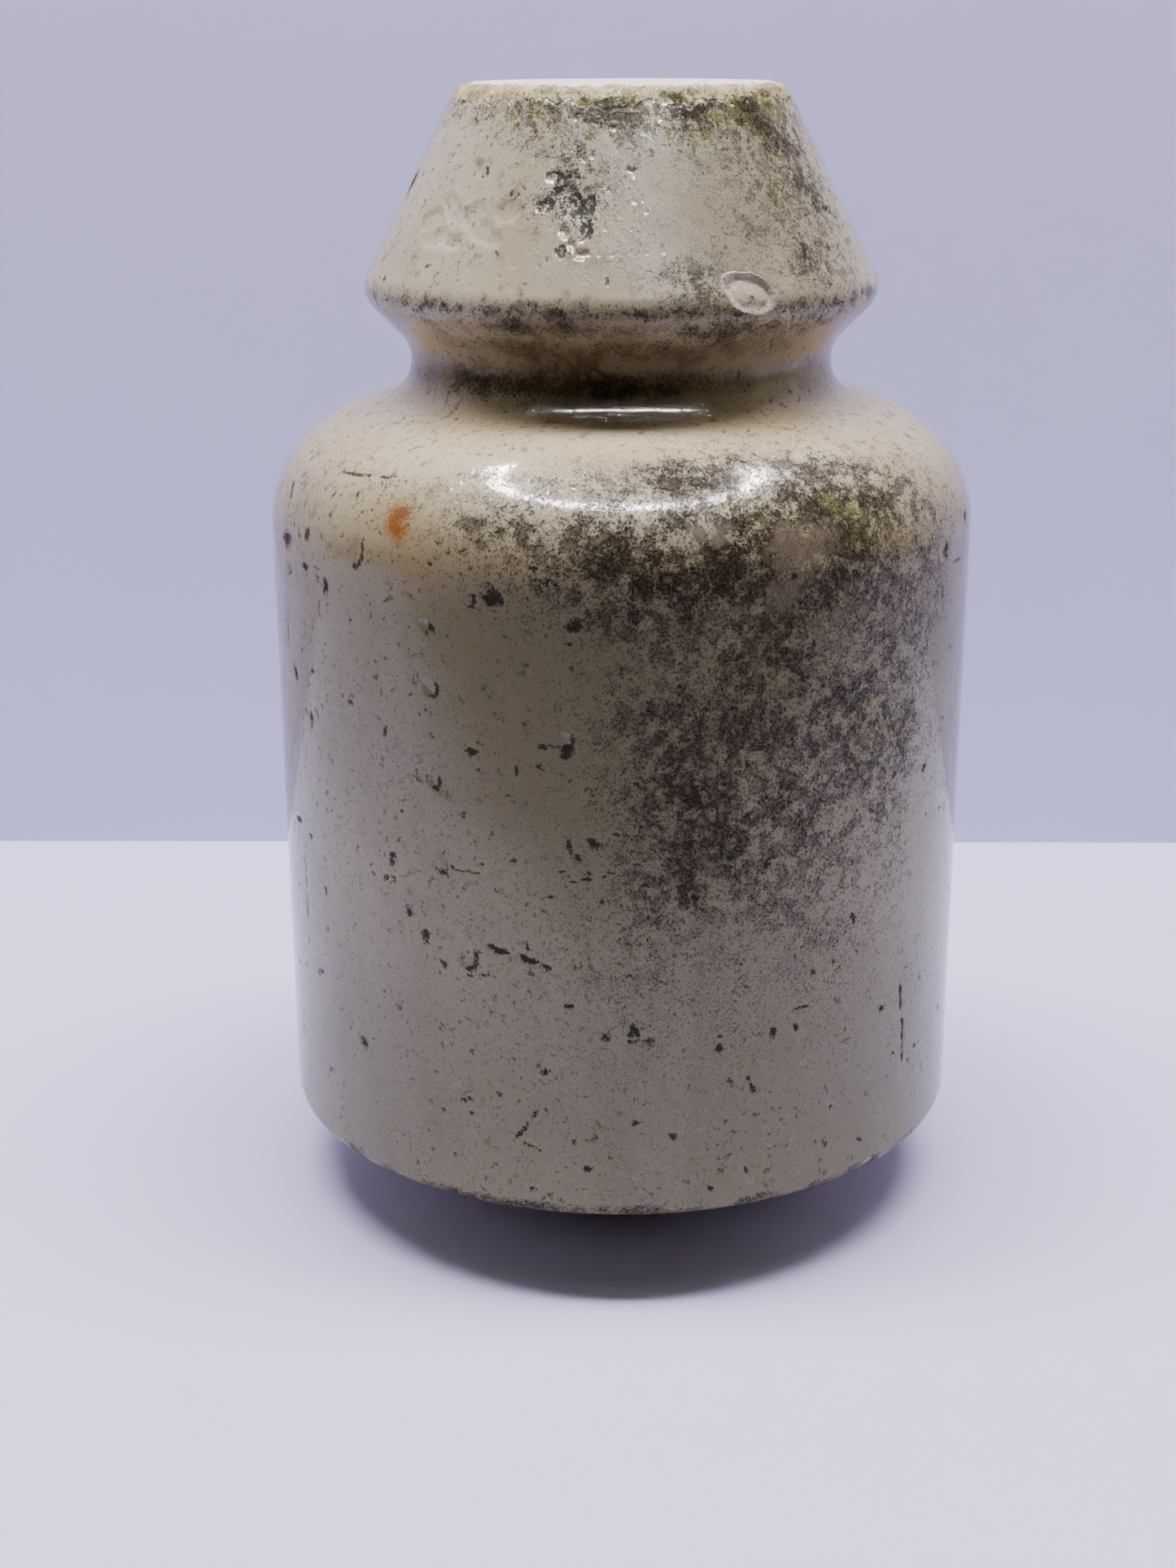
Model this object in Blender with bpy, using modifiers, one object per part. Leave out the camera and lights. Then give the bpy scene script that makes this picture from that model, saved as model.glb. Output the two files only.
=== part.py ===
"""A double-shed porcelain pin insulator, standing crown up on its rubber seating ring.

Six separate pieces share one upright axis. The glazed outer shell carries the wire groove
and the outer shed. The inner shell is cemented up into its head and reaches down past the
outer rim. A threaded thimble is cemented into the inner shell's hole and takes the spindle,
and a rubber ring sits in the foot, where the spindle's shoulder bears.
The origin is the centre of the ring's lower face and +Z runs up to the crown.
"""

import math

import bmesh
import bpy
from mathutils import Matrix, Vector

MM = 0.001

# Driving dimensions, in millimetres.
OVERALL_HEIGHT = 136.0
BODY_RADIUS = 42.5  # the outer shed at its widest, just under the shoulder
RIM_RADIUS = 42.3
RIM_HEIGHT = 11.0  # the outer rim above the surface that the ring stands on
RIM_WALL = 6.1
CROWN_RADIUS = 18.95
RIDGE_RADIUS = 31.2
RIDGE_HEIGHT = 112.4
GROOVE_APEX = (20.7, 101.6)  # where the ridge's underside and the shoulder would meet
SHOULDER_TOP = (34.5, 99.0)
SHOULDER_SIDE_HEIGHT = 90.9
SHED_CEILING = 88.0  # the top of the hollow between the two sheds
SOCKET_RADIUS = 18.5  # the hole in the head that the inner shell is cemented into
SOCKET_TOP = 112.0

PIECE_GAP = 0.3  # clearance between one piece and the next
SHELL_CEMENT_WALL = 1.7
INNER_HEAD_WALL = 4.0
THIMBLE_CEMENT_WALL = 1.4

INNER_SHED_RADIUS = 25.4  # at the foot
INNER_SHED_TAPER = 0.8  # how much slimmer it is at its top
INNER_SHED_TOP = 82.0
INNER_ROOF = 6.0
FOOT_HEIGHT = 4.2

RING_RADIUS = 22.0
RING_HOLE_RADIUS = 10.0
RING_THICKNESS = 8.0

THIMBLE_BOTTOM = 40.0
THIMBLE_ROOF = 3.0
THIMBLE_WALL = 1.3  # behind the thread's root
THREAD_PITCH = 5.0
THREAD_DEPTH = 1.4
THREAD_TURNS = 9
THREAD_BOTTOM = 45.0

OUTER_STEPS = 64
INNER_STEPS = 36
ARC_ERROR = 0.08  # how far a rounded corner's facets may lie inside its true arc

# Sizes that follow from the ones above.
CEMENT_RADIUS = SOCKET_RADIUS - PIECE_GAP
CEMENT_TOP = SOCKET_TOP - PIECE_GAP
HEAD_RADIUS = CEMENT_RADIUS - SHELL_CEMENT_WALL - PIECE_GAP
HEAD_TOP = CEMENT_TOP - SHELL_CEMENT_WALL - PIECE_GAP
BORE_RADIUS = HEAD_RADIUS - INNER_HEAD_WALL
BORE_TOP = HEAD_TOP - INNER_ROOF
SLEEVE_RADIUS = BORE_RADIUS - PIECE_GAP
SLEEVE_TOP = BORE_TOP - PIECE_GAP
THIMBLE_RADIUS = SLEEVE_RADIUS - THIMBLE_CEMENT_WALL - PIECE_GAP
THIMBLE_TOP = SLEEVE_TOP - THIMBLE_CEMENT_WALL - PIECE_GAP
THREAD_ROOT_RADIUS = THIMBLE_RADIUS - THIMBLE_WALL
THREAD_CREST_RADIUS = THREAD_ROOT_RADIUS - THREAD_DEPTH
THREAD_TOP = THREAD_BOTTOM + THREAD_PITCH * THREAD_TURNS


def clear_scene():
    for item in list(bpy.data.objects):
        bpy.data.objects.remove(item, do_unlink=True)


def make_collection(name):
    group = bpy.data.collections.new(name)
    bpy.context.scene.collection.children.link(group)
    return group


def make_material(name, colour, roughness, metallic=0.0):
    material = bpy.data.materials.new(name)
    material.use_nodes = True
    shader = material.node_tree.nodes["Principled BSDF"]
    shader.inputs["Base Color"].default_value = (*colour, 1.0)
    shader.inputs["Roughness"].default_value = roughness
    shader.inputs["Metallic"].default_value = metallic
    return material


def corner_arc(before, corner, after, radius):
    """Points along the arc of the given radius that rounds one corner of an outline."""
    towards_before = (before - corner).normalized()
    towards_after = (after - corner).normalized()
    half_angle = towards_before.angle(towards_after) / 2.0
    tangent = radius / math.tan(half_angle)
    start = corner + towards_before * tangent
    end = corner + towards_after * tangent
    bisector = (towards_before + towards_after).normalized()
    centre = corner + bisector * (radius / math.sin(half_angle))
    first = start - centre
    turn = first.angle_signed(end - centre)
    span = 2.0 * math.acos(1.0 - ARC_ERROR / radius)
    count = max(2, math.ceil(abs(turn) / span))
    return [centre + Matrix.Rotation(-turn * i / count, 2) @ first for i in range(count + 1)]


def rounded(corners, closed):
    """An outline through (radius, height, fillet) corners, with each fillet made an arc."""
    places = [Vector((radius, height)) for radius, height, _ in corners]
    outline = []
    for i, (_, _, fillet) in enumerate(corners):
        at_end = i in (0, len(corners) - 1)
        if fillet == 0.0 or (at_end and not closed):
            outline.append(places[i])
        else:
            after = places[(i + 1) % len(places)]
            outline += corner_arc(places[i - 1], places[i], after, fillet)
    return outline


def turned(name, corners, steps, group, closed=False):
    """A body of revolution. Its outline runs down the outer side and up the inner one."""
    outline = rounded(corners, closed)
    mesh = bpy.data.meshes.new(name)
    points = [(p.x * MM, 0.0, p.y * MM) for p in outline]
    edges = [(i, i + 1) for i in range(len(points) - 1)]
    if closed:
        edges.append((len(points) - 1, 0))
    mesh.from_pydata(points, edges, [])
    body = bpy.data.objects.new(name, mesh)
    group.objects.link(body)
    lathe = body.modifiers.new("Lathe", "SCREW")
    lathe.axis = "Z"
    lathe.angle = 2.0 * math.pi
    lathe.steps = steps
    lathe.render_steps = steps
    lathe.use_merge_vertices = True
    lathe.merge_threshold = 0.00001
    lathe.use_smooth_shade = True
    return body


def finish(body, material):
    body.data.materials.append(material)
    return body


def mark_as_cutter(body):
    body.hide_render = True
    body.display_type = "WIRE"


def cut(body, cutter):
    mark_as_cutter(cutter)
    difference = body.modifiers.new("Cut " + cutter.name, "BOOLEAN")
    difference.operation = "DIFFERENCE"
    difference.solver = "EXACT"
    difference.object = cutter


def close_end(bm, loop_edges, height):
    """Closes one open end with a fan about a point on the axis."""
    tip = bm.verts.new((0.0, 0.0, height))
    for edge in loop_edges:
        bm.faces.new((edge.verts[0], edge.verts[1], tip))


def thread_plug(name, group):
    """A rod with a rounded male thread, the shape that the thimble's female thread leaves.

    One pitch of the thread's outline is swept up a right-handed helix, a turn at a time, and
    the turns are welded to each other.
    """
    flat = THREAD_PITCH * 0.2
    flank = THREAD_PITCH * 0.3
    root = THREAD_ROOT_RADIUS
    crest = THREAD_CREST_RADIUS
    heights = (0.0, flank, flank + flat, 2.0 * flank + flat, THREAD_PITCH)
    radii = (crest, root, root, crest, crest)
    points = [(r * MM, 0.0, z * MM) for r, z in zip(reversed(radii), reversed(heights))]
    mesh = bpy.data.meshes.new(name + " outline")
    mesh.from_pydata(points, [(i, i + 1) for i in range(len(points) - 1)], [])
    sweep = bpy.data.objects.new(name + " sweep", mesh)
    group.objects.link(sweep)
    helix = sweep.modifiers.new("Helix", "SCREW")
    helix.axis = "Z"
    helix.angle = 2.0 * math.pi
    helix.screw_offset = THREAD_PITCH * MM
    helix.iterations = THREAD_TURNS - 1
    helix.steps = INNER_STEPS
    helix.render_steps = INNER_STEPS
    weld = sweep.modifiers.new("Weld", "WELD")
    weld.merge_threshold = 0.00001

    seen = sweep.evaluated_get(bpy.context.evaluated_depsgraph_get())
    plug_mesh = bpy.data.meshes.new_from_object(seen)
    bpy.data.objects.remove(sweep, do_unlink=True)
    plug_mesh.name = name
    bm = bmesh.new()
    bm.from_mesh(plug_mesh)
    middle = THREAD_PITCH * THREAD_TURNS / 2.0 * MM
    open_edges = [edge for edge in bm.edges if edge.is_boundary]
    lower = [e for e in open_edges if (e.verts[0].co.z + e.verts[1].co.z) / 2.0 < middle]
    upper = [e for e in open_edges if (e.verts[0].co.z + e.verts[1].co.z) / 2.0 >= middle]
    close_end(bm, lower, THREAD_PITCH * 0.5 * MM)
    close_end(bm, upper, THREAD_PITCH * (THREAD_TURNS - 0.5) * MM)
    bmesh.ops.recalc_face_normals(bm, faces=bm.faces)
    bm.to_mesh(plug_mesh)
    bm.free()
    plug = bpy.data.objects.new(name, plug_mesh)
    group.objects.link(plug)
    plug.location.z = THREAD_BOTTOM * MM
    return plug


def make_outer_shell(parts):
    """Head, wire groove, shoulder and outer shed, with the hollow and socket inside."""
    inner_rim_radius = RIM_RADIUS - RIM_WALL
    ceiling_radius = inner_rim_radius - 2.2
    corners = (
        (0.0, OVERALL_HEIGHT, 0.0),
        (CROWN_RADIUS, OVERALL_HEIGHT, 2.0),
        (RIDGE_RADIUS, RIDGE_HEIGHT, 3.3),
        (*GROOVE_APEX, 4.4),
        (*SHOULDER_TOP, 18.4),
        (BODY_RADIUS, SHOULDER_SIDE_HEIGHT, 13.6),
        (RIM_RADIUS, RIM_HEIGHT, 1.7),
        (inner_rim_radius, RIM_HEIGHT, 2.2),
        (ceiling_radius, SHED_CEILING, 5.0),
        (SOCKET_RADIUS, SHED_CEILING, 1.2),
        (SOCKET_RADIUS, SOCKET_TOP, 1.5),
        (0.0, SOCKET_TOP, 0.0),
    )
    return turned("outer_shell", corners, OUTER_STEPS, parts)


def make_shell_cement(parts):
    """The cement between the socket and the inner shell's head."""
    bottom = SHED_CEILING + 1.6
    inner_radius = CEMENT_RADIUS - SHELL_CEMENT_WALL
    inner_top = CEMENT_TOP - SHELL_CEMENT_WALL
    corners = (
        (0.0, CEMENT_TOP, 0.0),
        (CEMENT_RADIUS, CEMENT_TOP, 1.5),
        (CEMENT_RADIUS, bottom, 0.0),
        (inner_radius, bottom, 0.0),
        (inner_radius, inner_top, 1.0),
        (0.0, inner_top, 0.0),
    )
    return turned("shell_cement", corners, INNER_STEPS, parts)


def make_inner_shell(parts):
    """The inner shed: a stem in the head, a bell below it and a recessed foot."""
    recess_radius = RING_RADIUS + PIECE_GAP
    recess_roof = RING_THICKNESS + PIECE_GAP
    corners = (
        (0.0, HEAD_TOP, 0.0),
        (HEAD_RADIUS, HEAD_TOP, 1.5),
        (HEAD_RADIUS, SHED_CEILING, 2.5),
        (INNER_SHED_RADIUS - INNER_SHED_TAPER, INNER_SHED_TOP, 4.0),
        (INNER_SHED_RADIUS, FOOT_HEIGHT, 1.2),
        (recess_radius, FOOT_HEIGHT, 0.6),
        (recess_radius, recess_roof, 0.0),
        (BORE_RADIUS, recess_roof, 0.8),
        (BORE_RADIUS, BORE_TOP, 1.2),
        (0.0, BORE_TOP, 0.0),
    )
    return turned("inner_shell", corners, INNER_STEPS, parts)


def make_thimble_cement(parts):
    """The cement sleeve, closed at the top, that holds the thimble in the inner shell."""
    inner_radius = SLEEVE_RADIUS - THIMBLE_CEMENT_WALL
    inner_top = SLEEVE_TOP - THIMBLE_CEMENT_WALL
    bottom = THIMBLE_BOTTOM + 1.0
    corners = (
        (0.0, SLEEVE_TOP, 0.0),
        (SLEEVE_RADIUS, SLEEVE_TOP, 1.2),
        (SLEEVE_RADIUS, bottom, 0.0),
        (inner_radius, bottom, 0.0),
        (inner_radius, inner_top, 0.8),
        (0.0, inner_top, 0.0),
    )
    return turned("thimble_cement", corners, INNER_STEPS, parts)


def make_thimble(parts, cutters):
    """A closed-top metal thimble, plain at its mouth and top and threaded in between."""
    bore_top = THIMBLE_TOP - THIMBLE_ROOF
    blank_corners = (
        (0.0, THIMBLE_TOP, 0.0),
        (THIMBLE_RADIUS, THIMBLE_TOP, 1.0),
        (THIMBLE_RADIUS, THIMBLE_BOTTOM, 0.4),
        (0.0, THIMBLE_BOTTOM, 0.0),
    )
    thimble = turned("spindle_thimble", blank_corners, INNER_STEPS, parts)
    relief_radius = THREAD_ROOT_RADIUS + 0.15
    mouth_corners = (
        (0.0, THREAD_BOTTOM + THREAD_PITCH, 0.0),
        (relief_radius, THREAD_BOTTOM + THREAD_PITCH, 0.0),
        (relief_radius, THIMBLE_BOTTOM - 2.0, 0.0),
        (0.0, THIMBLE_BOTTOM - 2.0, 0.0),
    )
    top_corners = (
        (0.0, bore_top, 0.0),
        (relief_radius, bore_top, 0.0),
        (relief_radius, THREAD_TOP - THREAD_PITCH, 0.0),
        (0.0, THREAD_TOP - THREAD_PITCH, 0.0),
    )
    cut(thimble, thread_plug("thread_plug", cutters))
    cut(thimble, turned("mouth_relief", mouth_corners, INNER_STEPS, cutters))
    cut(thimble, turned("top_relief", top_corners, INNER_STEPS, cutters))
    return thimble


def make_seating_ring(parts):
    """The rubber ring in the foot, which stands proud of the inner shell's lip."""
    corners = (
        (RING_RADIUS, RING_THICKNESS, 1.2),
        (RING_RADIUS, 0.0, 1.4),
        (RING_HOLE_RADIUS, 0.0, 1.0),
        (RING_HOLE_RADIUS, RING_THICKNESS, 0.8),
    )
    return turned("seating_ring", corners, INNER_STEPS, parts, closed=True)


def main():
    clear_scene()
    parts = make_collection("porcelain_insulator")
    cutters = make_collection("cutters")
    glaze = make_material("glazed_porcelain", (0.74, 0.70, 0.63), 0.14)
    inner_glaze = make_material("inner_glaze", (0.70, 0.67, 0.61), 0.2)
    cement = make_material("cement", (0.45, 0.43, 0.40), 0.9)
    zinc = make_material("zinc_alloy", (0.42, 0.43, 0.44), 0.5, 0.9)
    rubber = make_material("india_rubber", (0.03, 0.028, 0.026), 0.75)
    finish(make_outer_shell(parts), glaze)
    finish(make_shell_cement(parts), cement)
    finish(make_inner_shell(parts), inner_glaze)
    finish(make_thimble_cement(parts), cement)
    finish(make_thimble(parts, cutters), zinc)
    finish(make_seating_ring(parts), rubber)


main()
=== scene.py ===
"""Looks of the porcelain insulator: weathered glaze, cement, zinc and rubber round the CAD frame."""

import math

import bpy
import numpy as np
from mathutils import Matrix, Vector


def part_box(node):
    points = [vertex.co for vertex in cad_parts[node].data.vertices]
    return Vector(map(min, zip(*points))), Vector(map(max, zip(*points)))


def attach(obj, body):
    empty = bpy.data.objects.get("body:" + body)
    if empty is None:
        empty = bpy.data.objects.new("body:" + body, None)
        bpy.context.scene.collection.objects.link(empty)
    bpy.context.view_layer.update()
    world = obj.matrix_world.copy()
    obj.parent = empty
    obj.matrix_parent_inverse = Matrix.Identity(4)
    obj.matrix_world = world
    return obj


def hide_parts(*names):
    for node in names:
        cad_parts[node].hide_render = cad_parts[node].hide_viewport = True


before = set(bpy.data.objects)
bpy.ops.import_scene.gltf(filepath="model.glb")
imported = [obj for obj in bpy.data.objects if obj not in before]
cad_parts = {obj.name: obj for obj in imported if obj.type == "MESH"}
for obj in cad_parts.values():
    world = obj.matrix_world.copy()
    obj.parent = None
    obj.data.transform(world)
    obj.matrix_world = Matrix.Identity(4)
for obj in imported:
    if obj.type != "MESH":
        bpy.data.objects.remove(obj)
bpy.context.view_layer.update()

MM = 0.001

# The outer shell's outline as (radius, height, fillet) corners in millimetres, from the
# crown's middle down the outer side and, second, from the rim up the inside.
OUTER_CORNERS = (
    (0.0, 136.0, 0.0),
    (18.95, 136.0, 2.0),
    (31.2, 112.4, 3.3),
    (20.7, 101.6, 4.4),
    (34.5, 99.0, 18.4),
    (42.49, 90.9, 13.6),
    (42.3, 11.0, 1.7),
    (39.0, 11.0, 0.0),
)
HOLLOW_CORNERS = (
    (39.0, 11.0, 0.0),
    (36.2, 11.0, 2.2),
    (34.0, 88.0, 5.0),
    (18.5, 88.0, 1.2),
    (18.5, 112.0, 1.5),
    (0.0, 112.0, 0.0),
)
SHELL_STEPS = 840
SKIN_SPACING = 0.38  # between rings on the glazed outside
HOLLOW_SPACING = 1.6

# Marks on the outer shell: angles in degrees round from the front, heights and sizes in mm.
# Dark pits: (angle, height, width, tall, tilt in degrees).
DARK_PITS = (
    (-66.0, 85.7, 2.6, 2.0, 10), (-18.5, 84.2, 2.4, 2.0, 20), (-6.5, 81.5, 1.7, 1.5, 30),
    (-45.8, 27.5, 1.6, 1.8, 30), (-37.7, 52.6, 0.9, 0.9, 0), (-7.6, 57.0, 0.9, 1.6, 0),
    (-4.2, 57.3, 0.9, 1.3, 20), (-58.0, 65.2, 0.8, 2.2, 0), (-64.0, 70.0, 1.2, 2.2, 25),
    (-67.5, 74.0, 0.7, 2.2, 0), (-66.0, 51.3, 2.4, 0.8, 5), (-60.3, 50.4, 1.2, 1.0, 0),
    (-55.4, 44.5, 0.7, 1.4, 20), (-57.0, 87.5, 1.0, 1.7, 0), (-58.0, 83.6, 1.6, 0.9, 0),
    (-51.5, 82.3, 1.3, 1.8, 20), (-22.5, 66.6, 1.6, 0.9, 0), (-15.5, 65.3, 0.5, 1.2, 0),
    (-10.4, 86.2, 1.8, 0.9, 0), (-38.3, 67.2, 0.6, 1.6, -20), (-46.0, 69.5, 0.9, 0.8, 0),
    (-31.4, 44.2, 0.9, 1.2, 0), (-34.5, 46.2, 1.0, 1.0, 0), (-28.0, 52.0, 1.2, 1.4, 0),
    (-7.5, 37.8, 1.6, 0.8, 10), (-2.0, 34.0, 1.2, 1.2, 0), (2.5, 34.6, 1.0, 1.4, 20),
    (4.2, 33.6, 1.4, 1.0, 0), (15.4, 32.0, 1.2, 1.4, 0), (24.3, 33.4, 0.8, 1.4, 0),
    (28.5, 33.1, 0.8, 1.2, 20), (46.8, 31.8, 1.2, 1.2, 0), (38.6, 26.9, 1.1, 0.5, 0),
    (21.0, 26.6, 0.5, 1.2, 30), (-24.1, 24.7, 0.9, 0.5, 0), (20.2, 16.2, 0.6, 1.4, 25),
    (-27.0, 17.0, 0.8, 0.6, 0), (-13.7, 14.4, 1.2, 0.6, 0), (-11.5, 29.3, 0.8, 1.0, 0),
    (56.5, 60.0, 1.4, 1.0, 30), (47.4, 60.6, 0.9, 1.6, 0), (60.5, 80.0, 0.9, 1.8, 0),
    (61.2, 84.6, 0.9, 2.4, 0), (72.0, 87.5, 1.6, 1.4, 0), (-58.8, 33.4, 2.8, 0.8, 20),
    (2.5, 127.3, 1.2, 1.0, 0), (-3.2, 125.2, 0.9, 0.7, 0), (50.0, 129.2, 0.8, 1.2, 0),
    (-63.0, 134.0, 1.0, 0.8, 0), (-66.0, 132.5, 0.9, 0.7, 0), (46.0, 118.2, 1.0, 1.8, 0),
    (62.0, 122.4, 1.8, 0.9, 0), (-2.8, 116.2, 0.6, 1.6, -10), (50.5, 114.7, 1.0, 0.8, 0),
    (-64.0, 114.8, 1.0, 0.8, 0), (-47.0, 88.4, 0.6, 0.6, 0), (34.5, 103.9, 0.5, 0.4, 0),
)
# Crescent chips where the glaze has spalled: (angle, height, width, tall).
CRESCENTS = (
    (-43.5, 87.0, 2.2, 3.2), (-8.0, 68.5, 1.6, 2.8), (-29.5, 73.2, 2.2, 2.0),
    (-29.0, 62.6, 1.3, 1.9), (-30.0, 80.2, 1.8, 1.2), (-23.8, 42.2, 2.4, 3.0),
    (-40.0, 126.8, 1.9, 1.5), (-65.5, 82.4, 2.2, 1.8), (-22.8, 83.6, 1.8, 1.6),
)
# Scratches and cracks with dirt in them: (angle, height, angle, height, width).
SCRATCHES = (
    (-20.5, 43.9, -14.5, 43.0, 0.8), (-14.5, 43.0, -11.0, 42.2, 0.8),
    (-12.3, 25.2, -16.8, 20.1, 0.6), (-10.0, 52.0, 0.0, 53.9, 0.35),
    (-20.0, 51.2, -17.0, 50.4, 0.5), (-53.5, 94.5, -46.0, 94.8, 0.45),
    (-46.0, 94.7, -40.0, 95.1, 0.4), (-41.0, 94.4, -37.0, 94.8, 0.35),
    (-14.0, 50.0, -14.0, 44.0, 0.35), (-63.6, 47.5, -63.6, 36.0, 0.4),
    (52.0, 33.5, 52.4, 29.5, 0.8), (53.0, 29.0, 53.4, 23.4, 0.7), (10.3, 51.8, 12.6, 48.6, 0.8),
    (0.0, 77.0, 1.8, 75.5, 0.5), (40.0, 40.8, 41.8, 38.6, 0.5), (38.0, 47.5, 39.4, 44.0, 0.6),
    (-15.0, 20.2, -11.0, 19.0, 0.35), (-24.0, 40.0, -20.0, 40.6, 0.3),
    (-69.5, 93.0, -67.0, 90.4, 0.7), (-46.5, 93.2, -46.0, 92.2, 0.5),
)
# Stain fields: (angle, height, width, tall, share of the skin that is covered in the middle).
SOOT = (
    (5, 89.5, 28, 11, 0.80), (22, 75, 26, 33, 0.62), (42, 87, 24, 17, 0.48), (46, 68, 16, 18, 0.34),
    (11, 58, 12, 17, 0.46), (27, 55, 28, 22, 0.30), (-17, 92, 15, 5.5, 0.45), (31, 94, 25, 7, 0.60),
    (10, 95.8, 28, 4.4, 0.66), (-34, 94, 16, 4, 0.16), (16, 43, 36, 20, 0.13),
    (14, 97.4, 17, 2.6, 0.36), (2, 62, 8, 40, 0.14), (3, 86.0, 11, 8, 0.85),
    (-21, 96.2, 7, 1.6, 0.5), (-64, 88, 8, 8, 0.10), (56, 78, 10, 30, 0.12), (53, 33, 5, 14, 0.12),
    (10.5, 56, 3.5, 14, 0.6), (14.5, 115.8, 9, 4.6, 0.5), (14.5, 115.3, 3, 2, 0.6),
    (8, 132.6, 34, 4.4, 0.58), (38, 130, 24, 10, 0.42), (46, 122, 16, 14, 0.32),
    (4, 121, 20, 10, 0.22), (56, 124, 9, 14, 0.14), (50, 115.6, 12, 5, 0.2),
    (-18, 129.5, 9, 4, 0.22), (22, 133.8, 26, 1.4, 0.5), (-13, 125.0, 7.5, 7, 0.42),
    (-30, 129.5, 10, 4, 0.1), (-36, 134, 9, 1.5, 0.5), (-14, 133.8, 9, 1.4, 0.4),
    # The patches low in the wire groove, near 104 mm, are soot and painted shade in the groove's
    # bottom.
    (-6, 104.3, 24, 2.6, 0.42), (2.5, 104.2, 8, 1.6, 0.9), (-38, 103.9, 16, 3.0, 0.35),
    (20, 110.6, 10, 3.2, 0.5), (-23, 111.2, 3, 2.0, 0.6), (-11, 111.2, 3, 1.8, 0.5),
    (-30, 108.6, 14, 2, 0.25), (46, 110.8, 14, 3.0, 0.42), (12, 108.8, 18, 2.4, 0.2),
)
MOSS = (
    (12, 132.2, 34, 5, 0.45), (36, 131, 18, 7, 0.35), (30, 91, 26, 8, 0.35), (46, 62, 10, 20, 0.15),
    (33, 92.4, 8, 3.6, 0.75), (40, 90.4, 10, 6, 0.55), (24, 93, 9, 3, 0.35), (20, 133, 34, 3, 0.5),
    (43, 132.2, 4.5, 4.6, 0.85), (50, 127, 12, 10, 0.5), (54, 134.0, 10, 2.0, 0.6),
    (52, 84, 9, 12, 0.3), (40, 69, 10, 7, 0.4), (16, 98.4, 8, 1.2, 0.3), (62, 122, 8, 12, 0.3),
    (26, 78, 14, 10, 0.25), (50, 66, 8, 5, 0.35), (0, 133.6, 40, 2.0, 0.4),
)
TAN = (
    (26.5, 88.8, 5.6, 5.4, 0.95), (12.5, 91.2, 5.0, 2.6, 0.6), (14, 81.8, 3.0, 2.8, 0.7),
    (31.5, 89.8, 4.0, 3.6, 0.6), (24.5, 84.4, 3.6, 4.6, 0.55), (-9, 94.8, 2.0, 1.4, 0.6),
    (34, 78, 10, 8, 0.25),
)
RUST = (
    (-36.2, 91.4, 3.8, 3.8, 1.0), (-35.3, 89.9, 1.8, 2.8, 0.7), (-31.5, 87.2, 5.0, 6.0, 0.3),
    (-36.5, 58.6, 2.0, 2.0, 0.16), (-31, 56.5, 2.6, 1.0, 0.3), (-2.7, 97.0, 1.3, 1.7, 0.32),
    (26, 97.3, 1.8, 1.3, 0.28), (1.4, 95.9, 0.9, 0.9, 0.3),
)
# Stained gouges on the head: (angle, height, width, tall). Blisters and the shallow clean dents
# beside them also have a tilt.
GOUGES = (
    (-17.2, 126.6, 2.0, 1.3), (-13.2, 126.4, 1.6, 1.4), (-18.4, 123.6, 1.9, 1.5),
    (-14.0, 124.9, 3.4, 1.4), (-11.2, 123.4, 3.2, 2.2), (-7.6, 123.8, 1.4, 2.4),
    (-8.0, 121.2, 1.5, 2.2), (-13.2, 119.0, 1.2, 1.6), (-27.5, 124.6, 1.4, 0.8),
)
BLISTERS = ((-13.2, 120.9, 1.2, 1.9, 40), (-11.2, 119.6, 1.0, 1.6, 30), (-8.6, 118.7, 2.4, 0.8, 8))
DENTS = (
    (-52.5, 121.6, 5.0, 3.0, 15), (-46.5, 122.8, 4.4, 2.6, -25), (-49.5, 119.8, 4.2, 2.2, 8),
    (-38.5, 122.4, 3.4, 2.6, 40), (-35.0, 120.8, 3.2, 2.2, -20), (-28.5, 122.8, 2.8, 2.0, 30),
    (-42.0, 119.4, 2.2, 1.6, -10), (-30.5, 119.8, 2.0, 1.4, 25),
)
FLAKE = (28.4, 114.5, 7.4, 4.7, -24)  # the oval chip that breaks the ridge
# Chips in the edge of the crown: (angle, height, width, tall, depth).
CROWN_CHIPS = (
    (16.0, 134.6, 3.0, 1.7, 0.6), (24.0, 135.2, 2.6, 1.4, 0.5), (-16.0, 135.2, 2.6, 1.0, 0.3),
    (-27.0, 135.3, 3.4, 0.9, 0.3), (41.5, 132.6, 1.1, 3.4, 0.35), (55.0, 134.6, 4.0, 1.4, 0.4),
    (110.0, 134.8, 3.4, 1.8, 0.5), (171.0, 135.0, 5.0, 1.6, 0.5), (-118.0, 134.9, 2.6, 1.4, 0.4),
)
# Brown film, soaked in rather than speckled: dirt in the wire groove and fainter on the head, and
# painted shade in the groove's recess and in the neck under the head.
GRIME_AND_SHADE = (
    (-2, 106.5, 30, 6, 0.55), (-4, 104.3, 26, 2.4, 0.75), (-12, 111.4, 30, 2.4, 0.5),
    (-40, 104.4, 20, 2.6, 0.35), (10, 131.5, 32, 7, 0.18), (12, 124, 30, 14, 0.16),
    (4, 116, 20, 6, 0.08), (180, 106, 60, 6, 0.4), (0, 101.9, 34, 1.8, 0.6), (-5, 109, 44, 5, 0.35),
    (48, 122, 26, 26, 0.32), (26, 124, 26, 18, 0.24), (34, 130, 26, 8, 0.16),
    (6, 96.6, 24, 5, 0.30),
)
GROOVE_RANGE = (102.0, 112.4)
CROWN_BAND = 134.1  # the worn edge starts here
RIDGE_LINE = 112.7
RIM_DIRT = 12.3  # the dirty and nibbled edge ends here
BACK_SEED = 41
BACK_PITS = 150
FRONT_SPECKS = 110
BACK_CRESCENTS = 14
BACK_SCRATCHES = 16

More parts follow.
